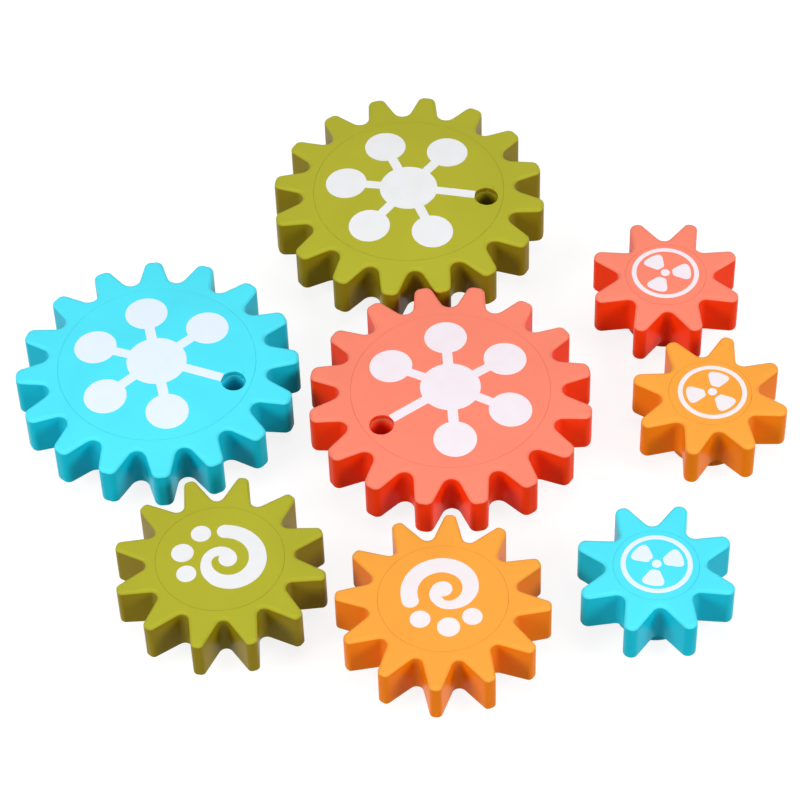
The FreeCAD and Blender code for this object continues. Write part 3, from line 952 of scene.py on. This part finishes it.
def hub_print(family):
    """Large print: the middle disc, six spokes, and a disc at the end of five of them."""
    stencils = [spot(HUB_SPOT, 0, 0)]
    for step in range(SPOKE_COUNT):
        degrees = 360 / SPOKE_COUNT * step
        end = DISC_CENTRES if step else family.crank_offset - CRANK_HOLE + SPOKE_PAST_HOLE_EDGE
        half = SPOKE_WIDTH / 2
        spoke = block((0, -half, STENCIL_LOW), (end, half, STENCIL_HIGH))
        spoke.rotation_euler = (0, 0, math.radians(degrees))
        stencils.append(spoke)
        if step:
            stencils.append(spot(DISC_SPOT, *around(DISC_CENTRES, degrees)))
    return printed(family, HUB_MARGIN, stencils)


# the spiral with dots, on the medium gears: measured from the eye of the spiral, with the middle dot near
# its x axis; the band starts round and winds in to the eye
SPIRAL_EYE = (-3.2 * MM, 0.47 * MM)
EYE_RADIUS = 3.35 * MM
DOTS = [
    # radius, distance, bearing
    (3.7, 15.5, -36.7),
    (4.1, 16.8, 1.7),
    (3.65, 16.0, 35.6),
]
BAND_CAP = (3.05, 12.75, -71.5)
BAND = [
    # bearing, outer radius, inner radius
    (-71.5, 15.8, 9.7),
    (-81, 15.5, 9.4),
    (-119, 14.7, 8.5),
    (-159, 14.1, 7.65),
    (-205, 13.85, 7.3),
    (-245, 13.45, 7.2),
    (-279, 12.6, 6.9),
    (-314, 11.1, 6.4),
    (-339, 9.8, 5.9),
    (-359, 9.0, 4.9),
    (-375, 8.2, 3.3),
    (-395, 7.1, 1.0),
    (-424, 5.7, 1.0),
    (-455, 4.35, 1.0),
    (-495, 3.6, 1.0),
    (-527, 3.3, 1.0),
]
BAND_STEPS = 90
SPIRAL_MARGIN = 1.0 * MM


def band_outline(share):
    """Bearing and radii of the band at a share of its turn, between the ones listed."""
    bearing = BAND[0][0] + (BAND[-1][0] - BAND[0][0]) * share
    for (start, outer_a, inner_a), (end, outer_b, inner_b) in zip(BAND, BAND[1:]):
        if bearing >= end:
            part = (start - bearing) / (start - end)
            inner = inner_a + (inner_b - inner_a) * part
            outer = outer_a + (outer_b - outer_a) * part
            return bearing, inner * MM, outer * MM
    return bearing, BAND[-1][2] * MM, BAND[-1][1] * MM


def spiral_print(family):
    """Medium print: the band with its round start and eye, and the three dots."""
    stencils = [bent_strip(BAND_STEPS, band_outline), spot(EYE_RADIUS, 0, 0)]
    for radius, distance, bearing in DOTS + [BAND_CAP]:
        stencils.append(spot(radius * MM, *around(distance * MM, bearing)))
    for stencil in stencils:
        stencil.location.x += SPIRAL_EYE[0]
        stencil.location.y += SPIRAL_EYE[1]
    return printed(family, SPIRAL_MARGIN, stencils)


# the ring with the fan, on the small gears
RING_OUTER = 12.95 * MM
RING_INNER = 11.15 * MM
FAN_DOT = 1.75 * MM
BLADE_INNER = 2.8 * MM
BLADE_OUTER = 9.85 * MM
BLADE_SPREAD = 58.0
BLADE_CORNER = 2.1 * MM
BLADE_COUNT = 3
BLADE_STEPS = 24
FAN_MARGIN = 1.0 * MM


def blade_outline(middle):
    """Outline of one fan blade, with its corners rounded off."""

    def outline(share):
        def rounded(radius, corner):
            edge = math.radians(BLADE_SPREAD) * radius * min(share, 1 - share)
            short = max(0.0, corner - edge)
            return corner - math.sqrt(corner**2 - short**2)

        degrees = middle + BLADE_SPREAD * (share - 0.5)
        inner = BLADE_INNER + rounded(BLADE_INNER, BLADE_CORNER / 2)
        return degrees, inner, BLADE_OUTER - rounded(BLADE_OUTER, BLADE_CORNER)

    return outline


def ring_stencil(inner, outer):
    """Stencil of a ring round the middle."""
    bpy.ops.object.select_all(action="DESELECT")
    bpy.ops.mesh.primitive_circle_add(vertices=PLATE_SIDES, radius=outer, location=(0, 0, STENCIL_LOW))
    ring = bpy.context.object
    bpy.ops.object.transform_apply(location=True, rotation=True, scale=True)
    bpy.ops.object.mode_set(mode="EDIT")
    bpy.ops.mesh.select_all(action="SELECT")
    corners = [(outer, STENCIL_LOW), (outer, STENCIL_HIGH), (inner, STENCIL_HIGH), (inner, STENCIL_LOW)]
    extruded_ring(ring, corners + corners[:1])
    bpy.ops.object.mode_set(mode="OBJECT")
    return ring


def fan_print(family):
    """Small print: the ring, the middle dot and three blades."""
    stencils = [ring_stencil(RING_INNER, RING_OUTER), spot(FAN_DOT, 0, 0)]
    for step in range(BLADE_COUNT):
        stencils.append(bent_strip(BLADE_STEPS, blade_outline(360 / BLADE_COUNT * step)))
    return printed(family, FAN_MARGIN, stencils)


PRINT_PLACES = {
    # bearing of the middle dot, or of one blade, and how far the print sits off the middle
    "medium_green": (165.9, -0.1, 0.3),
    "medium_orange": (272.9, -0.1, 0.4),
    "small_red": (122.0, -0.2, 0.7),
    "small_orange": (67.3, 0.8, 0.1),
    "small_cyan": (16.5, 0.2, 0.4),
}
print_patterns = {
    "large": hub_print(FAMILIES["large"]),
    "medium": spiral_print(FAMILIES["medium"]),
    "small": fan_print(FAMILIES["small"]),
}
for gear in GEARS:
    size, colour = gear.split("_")
    degrees, along, across = PRINT_PLACES.get(gear, (math.degrees(turns[gear]), 0.0, 0.0))
    place = centre_of(gear) + Vector((along, across, 0)) * MM
    ink = set_down(print_patterns[size], gear + "_print", place, math.radians(degrees))
    clad(ink, inks[colour])
    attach(ink, gear + "_gear")
for pattern in print_patterns.values():
    bpy.data.objects.remove(pattern)

# ----------------------------------------------------------------------------- feet
# The round foot is moulded in the gear's own colour. It carries the spindle, and a thin cover closes its
# magnet in from below.
FOOT_SIDES = 72
FOOT_EDGE_ROUND = 0.8 * MM
FOOT_EDGE_SEGMENTS = 3
COLLAR_RADIUS = 8.5 * MM
COLLAR_TOP = 7.4 * MM
SPINDLE_RADIUS = 4.0 * MM
SCREW_HOLE_RADIUS = 1.55 * MM
SCREW_HOLE_BOTTOM = 9.35 * MM
MAGNET_RECESS_RADIUS = 10.1 * MM
MAGNET_RECESS_TOP = 3.7 * MM
COVER_CLEARANCE = 0.1 * MM
FOOT_HEIGHT = 7.0 * MM


def half_width(node):
    """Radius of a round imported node."""
    low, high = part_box(node)
    return (high.x - low.x) / 2


def foot_moulding():
    """The foot about the axis, as one ring from the magnet's recess over its outside to the screw hole."""
    radius = half_width("large_red_foot")
    spindle_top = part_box("large_red_foot")[1].z
    cover_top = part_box("large_red_cover")[1].z
    cover_recess = half_width("large_red_cover") + COVER_CLEARANCE
    steps = [
        (MAGNET_RECESS_RADIUS, MAGNET_RECESS_TOP),
        (MAGNET_RECESS_RADIUS, cover_top),
        (cover_recess, cover_top),
        (cover_recess, 0.0),
        (radius, 0.0),
        (radius, FOOT_HEIGHT),
        (COLLAR_RADIUS, FOOT_HEIGHT),
        (COLLAR_RADIUS, COLLAR_TOP),
        (SPINDLE_RADIUS, COLLAR_TOP),
        (SPINDLE_RADIUS, spindle_top),
        (SCREW_HOLE_RADIUS, spindle_top),
        (SCREW_HOLE_RADIUS, SCREW_HOLE_BOTTOM),
    ]
    bpy.ops.object.select_all(action="DESELECT")
    start_radius, start_height = steps[0]
    bpy.ops.mesh.primitive_circle_add(
        vertices=FOOT_SIDES, radius=start_radius, location=(0, 0, start_height)
    )
    foot = bpy.context.object
    bpy.ops.object.transform_apply(location=True, rotation=True, scale=True)
    bpy.ops.object.mode_set(mode="EDIT")
    bpy.ops.mesh.select_all(action="SELECT")
    extruded_ring(foot, steps)
    for end_radius, end_height in (steps[0], steps[-1]):
        def on_end(co, end_radius=end_radius, end_height=end_height):
            return near(co.z, end_height) and near(co.to_2d().length, end_radius)

        select(foot, "edges", both_ends(foot, on_end))
        bpy.ops.mesh.edge_face_add()
    for level in (0.0, FOOT_HEIGHT):
        def on_rim(co, level=level):
            return near(co.z, level) and near(co.to_2d().length, radius)

        bevel_edges(foot, on_rim, FOOT_EDGE_ROUND, FOOT_EDGE_SEGMENTS)
    smoothed(foot)
    return foot


foot_pattern = foot_moulding()
for gear in GEARS:
    colour = gear.split("_")[1]
    foot = set_down(foot_pattern, gear + "_foot_moulding", centre_of(gear), 0.0)
    clad(foot, plastics[colour])
    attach(foot, "feet")
    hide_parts(gear + "_foot")
    clad(frame["nodes"][gear + "_cover"], plastics[colour])
bpy.data.objects.remove(foot_pattern)

# ----------------------------------------------------------------------------- magnets, washers and screws
# A disc magnet of black ferrite lies in each foot. A zinc plated steel washer and a pan-head screw in the
# top of the spindle keep the wheel on it.
SPECK_RANGE = (0.4, 0.65)
FERRITE_RELIEF = 0.02 * MM
ZINC_RELIEF = 0.01 * MM


def speckled_surface():
    """Two colours mixed in fine specks, with a gloss that follows the specks and a grain as height."""
    inputs = [
        ("Color", "NodeSocketColor", None),
        ("Speck Color", "NodeSocketColor", None),
        ("Speck Scale", "NodeSocketFloat", 900.0),
        ("Gloss Low", "NodeSocketFloat", 0.3),
        ("Gloss High", "NodeSocketFloat", 0.5),
        ("Vector", "NodeSocketVector", None),
    ]
    group, given, result = new_group("speckled_surface", inputs, SURFACE_OUTPUTS)
    nodes, links = group.nodes, group.links
    speck = noise_texture(nodes, links, given.outputs["Vector"], scale=1.0, detail=3.0)
    links.new(given.outputs["Speck Scale"], speck.inputs["Scale"])
    share = map_range(nodes, links, speck.outputs["Fac"], SPECK_RANGE).outputs["Result"]
    base, fleck = given.outputs["Color"], given.outputs["Speck Color"]
    links.new(mixed_color(nodes, links, share, base, fleck), result.inputs["Color"])
    gloss = map_range(nodes, links, share, (0.0, 1.0))
    links.new(given.outputs["Gloss Low"], gloss.inputs["To Min"])
    links.new(given.outputs["Gloss High"], gloss.inputs["To Max"])
    links.new(gloss.outputs["Result"], result.inputs["Roughness"])
    links.new(speck.outputs["Fac"], result.inputs["Height"])
    return group


speckled_group = speckled_surface()
ferrite = new_material("ferrite")
ferrite_values = {
    "Color": (0.030, 0.030, 0.033, 1.0),
    "Speck Color": (0.075, 0.072, 0.070, 1.0),
    "Speck Scale": 1500.0,
    "Gloss Low": 0.50,
    "Gloss High": 0.75,
}
finished_with(ferrite, speckled_group, ferrite_values, FERRITE_RELIEF)
zinc_plate = new_material("zinc_plated_steel")
zinc_values = {
    "Color": (0.52, 0.54, 0.56, 1.0),
    "Speck Color": (0.68, 0.69, 0.70, 1.0),
    "Speck Scale": 700.0,
    "Gloss Low": 0.28,
    "Gloss High": 0.42,
}
zinc_shader = finished_with(zinc_plate, speckled_group, zinc_values, ZINC_RELIEF)
zinc_shader.inputs["Metallic"].default_value = 1.0
for node, finish, slot in (
    ("magnets", ferrite, "magnet"),
    ("washers", zinc_plate, "steel"),
    ("screws", zinc_plate, "steel"),
):
    clad(frame["nodes"][node], finish)
